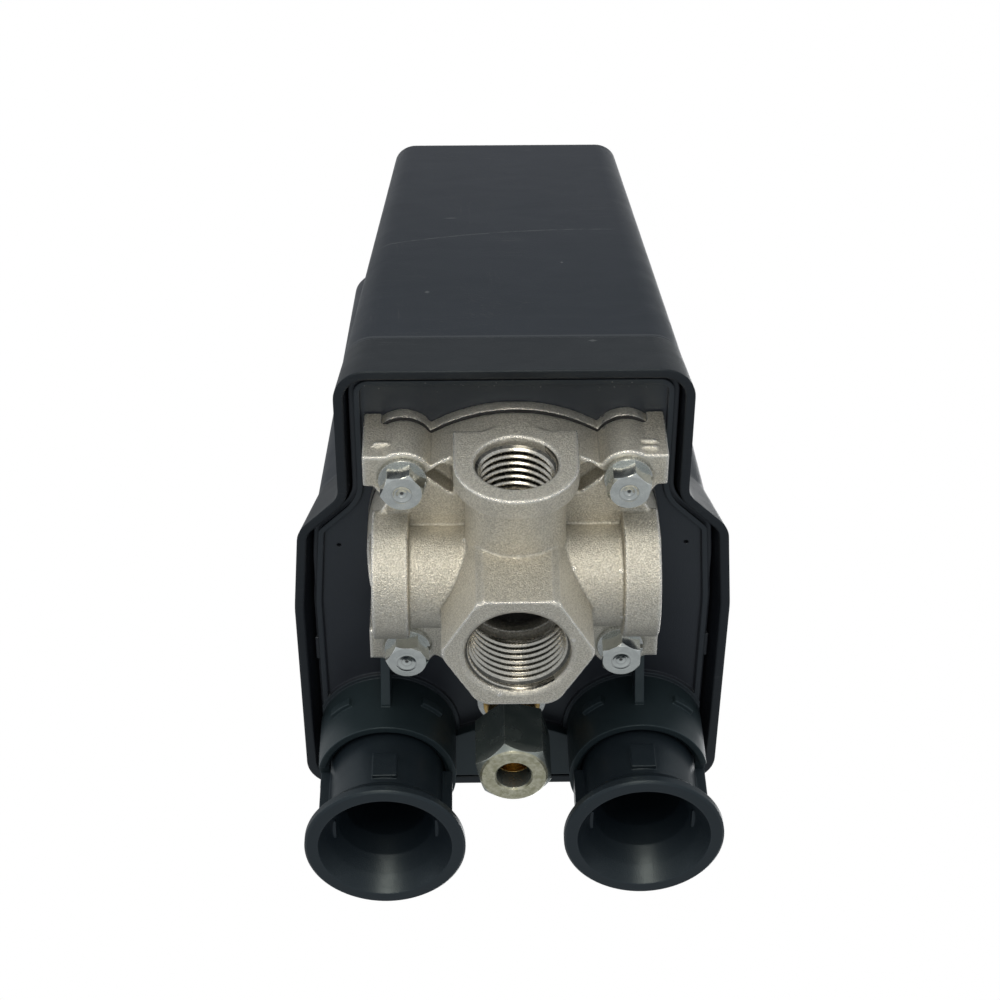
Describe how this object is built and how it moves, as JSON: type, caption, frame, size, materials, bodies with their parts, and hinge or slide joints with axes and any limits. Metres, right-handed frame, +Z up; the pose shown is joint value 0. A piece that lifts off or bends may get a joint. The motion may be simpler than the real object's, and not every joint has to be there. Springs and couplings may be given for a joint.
{
  "type": "pressure switch",
  "caption": "Diaphragm pressure switch for an air compressor: cast four-way manifold, black plastic base and cover, two bell-mouthed cable bushings, unloader valve and lever mechanism.",
  "frame": {"origin": "centre of the tank port's face, on the port's axis", "axes": "+Z up in use, from the tank port to the cover's top; -Y towards the gauge port; +Y towards the cable bushings; +X to the right seen from the gauge port's side"},
  "size_m": [0.0756, 0.0944, 0.118],
  "materials": {
    "cast_metal": "rough die-cast",
    "zinc_steel": "bright zinc plate",
    "plated_steel": "zinc plated sheet",
    "dark_steel": "blackened",
    "spring_steel": "oiled",
    "green_zinc": "olive passivated zinc",
    "brass": "machined",
    "copper": "stamped",
    "rubber": "matte",
    "black_plastic": "moulded, satin",
    "cover_plastic": "moulded, satin",
    "dark_plastic": "moulded",
    "cream_plastic": "moulded",
    "red_plastic": "moulded, satin"
  },
  "bodies": {
    "frame": {"manifold": "cast_metal", "flange_bolts": "zinc_steel", "spring_washers": "zinc_steel", "diaphragm": "rubber", "diaphragm_ring": "plated_steel", "base": "black_plastic", "yoke": "plated_steel", "cover_post": "zinc_steel", "lever_pin": "zinc_steel", "pin_clips": "dark_steel", "range_spring": "spring_steel", "differential_spring": "spring_steel", "unloader_ferrule": "brass", "unloader_body": "brass", "unloader_washer": "zinc_steel", "unloader_locknut": "brass", "unloader_spring": "spring_steel", "contact_block": "cream_plastic", "fixed_contacts": "brass", "terminal_screws": "zinc_steel", "earth_washer": "brass", "earth_screw": "zinc_steel", "cable_seal_left": "rubber", "cable_seal_right": "rubber"},
    "cover": {"cover": "cover_plastic"},
    "cover_screw": {"cover_screw": "zinc_steel"},
    "knob": {"on_off_knob": "red_plastic", "knob_cam": "dark_plastic"},
    "lever": {"main_lever": "plated_steel"},
    "plunger": {"plunger": "cream_plastic"},
    "lower_seat": {"lower_spring_seat": "plated_steel"},
    "upper_seat": {"upper_spring_seat": "plated_steel"},
    "range_screw": {"range_screw": "zinc_steel"},
    "differential_seat": {"differential_seat": "brass"},
    "differential_screw": {"differential_screw": "zinc_steel"},
    "unloader_nut": {"unloader_nut": "green_zinc"},
    "unloader_stem": {"unloader_stem": "brass"},
    "contact_carrier": {"contact_carrier": "dark_plastic", "contact_bridges": "copper", "contact_springs": "spring_steel"},
    "release_rod": {"release_rod": "cream_plastic"},
    "bushing_left": {"bushing_left": "black_plastic"},
    "bushing_right": {"bushing_right": "black_plastic"},
    "thrust_ring_left": {"thrust_ring_left": "dark_plastic"},
    "thrust_ring_right": {"thrust_ring_right": "dark_plastic"}
  },
  "joints": [
    {"name": "cover_lift", "type": "slide", "parent": "frame", "child": "cover", "axis": [0, 0, 1], "range_m": [0, 0.08]},
    {"name": "cover_screw_turn", "type": "hinge", "parent": "cover", "child": "cover_screw", "pos_m": [0, -0.011, 0.111], "axis": [0, 0, 1], "range_deg": [0, 720]},
    {"name": "knob_turn", "type": "hinge", "parent": "cover", "child": "knob", "pos_m": [0, 0.03, 0.114], "axis": [0, 0, 1], "range_deg": [0, 90]},
    {"name": "lever_rock", "type": "hinge", "parent": "frame", "child": "lever", "pos_m": [0, 0.015, 0.0478], "axis": [-1, 0, 0], "range_deg": [0, 4], "stiffness_Nm_per_rad": 5, "springref_deg": -5.73, "deforming": ["differential_spring"]},
    {"name": "plunger_stroke", "type": "slide", "parent": "frame", "child": "plunger", "axis": [0, 0, 1], "range_m": [0, 0.001]},
    {"name": "lower_seat_stroke", "type": "slide", "parent": "frame", "child": "lower_seat", "axis": [0, 0, 1], "range_m": [0, 0.001], "deforming": ["range_spring"]},
    {"name": "unloader_stroke", "type": "slide", "parent": "frame", "child": "unloader_stem", "axis": [0, 0, -1], "range_m": [0, 0.002], "deforming": ["unloader_spring"]},
    {"name": "contact_stroke", "type": "slide", "parent": "frame", "child": "contact_carrier", "axis": [0, 0, -1], "range_m": [0, 0.002]},
    {"name": "range_screw_turn", "type": "hinge", "parent": "frame", "child": "range_screw", "pos_m": [0, 0.001, 0.092], "axis": [0, 0, 1], "range_deg": [-722, 722]},
    {"name": "upper_seat_stroke", "type": "slide", "parent": "frame", "child": "upper_seat", "axis": [0, 0, -1], "range_m": [-0.002, 0.002]},
    {"name": "differential_screw_turn", "type": "hinge", "parent": "frame", "child": "differential_screw", "pos_m": [0, 0.027, 0.067], "axis": [0, 0, 1], "range_deg": [-362, 362]},
    {"name": "differential_seat_stroke", "type": "slide", "parent": "frame", "child": "differential_seat", "axis": [0, 0, -1], "range_m": [-0.0007, 0.0007]},
    {"name": "release_stroke", "type": "slide", "parent": "frame", "child": "release_rod", "axis": [0, 0, -1], "range_m": [0, 0.002]},
    {"name": "unloader_nut_turn", "type": "hinge", "parent": "frame", "child": "unloader_nut", "pos_m": [0, 0.043, 0.0215], "axis": [0, 0, -1], "range_deg": [-360, 0]},
    {"name": "bushing_left_turn", "type": "hinge", "parent": "frame", "child": "bushing_left", "pos_m": [-0.0224, 0.0494, 0.01], "axis": [0, 0, 1], "range_deg": [0, 90]},
    {"name": "thrust_left_stroke", "type": "slide", "parent": "frame", "child": "thrust_ring_left", "axis": [0, 0, 1], "range_m": [0, 0.001], "deforming": ["cable_seal_left"]},
    {"name": "bushing_right_turn", "type": "hinge", "parent": "frame", "child": "bushing_right", "pos_m": [0.0224, 0.0494, 0.01], "axis": [0, 0, 1], "range_deg": [0, 90]},
    {"name": "thrust_right_stroke", "type": "slide", "parent": "frame", "child": "thrust_ring_right", "axis": [0, 0, 1], "range_m": [0, 0.001], "deforming": ["cable_seal_right"]}
  ],
  "couplings": [
    {"joint": "plunger_stroke", "follows": "lever_rock", "m_per_rad": 0.014},
    {"joint": "lower_seat_stroke", "follows": "lever_rock", "m_per_rad": 0.014},
    {"joint": "unloader_stroke", "follows": "lever_rock", "m_per_rad": 0.028},
    {"joint": "contact_stroke", "follows": "lever_rock", "m_per_rad": 0.028},
    {"joint": "range_screw_turn", "follows": "upper_seat_stroke", "rad_per_m": 6283.2},
    {"joint": "differential_screw_turn", "follows": "differential_seat_stroke", "rad_per_m": 8976},
    {"joint": "release_stroke", "follows": "knob_turn", "m_per_rad": 0.0012731},
    {"joint": "thrust_left_stroke", "follows": "bushing_left_turn", "m_per_rad": 0.0006365},
    {"joint": "thrust_right_stroke", "follows": "bushing_right_turn", "m_per_rad": 0.0006365}
  ]
}
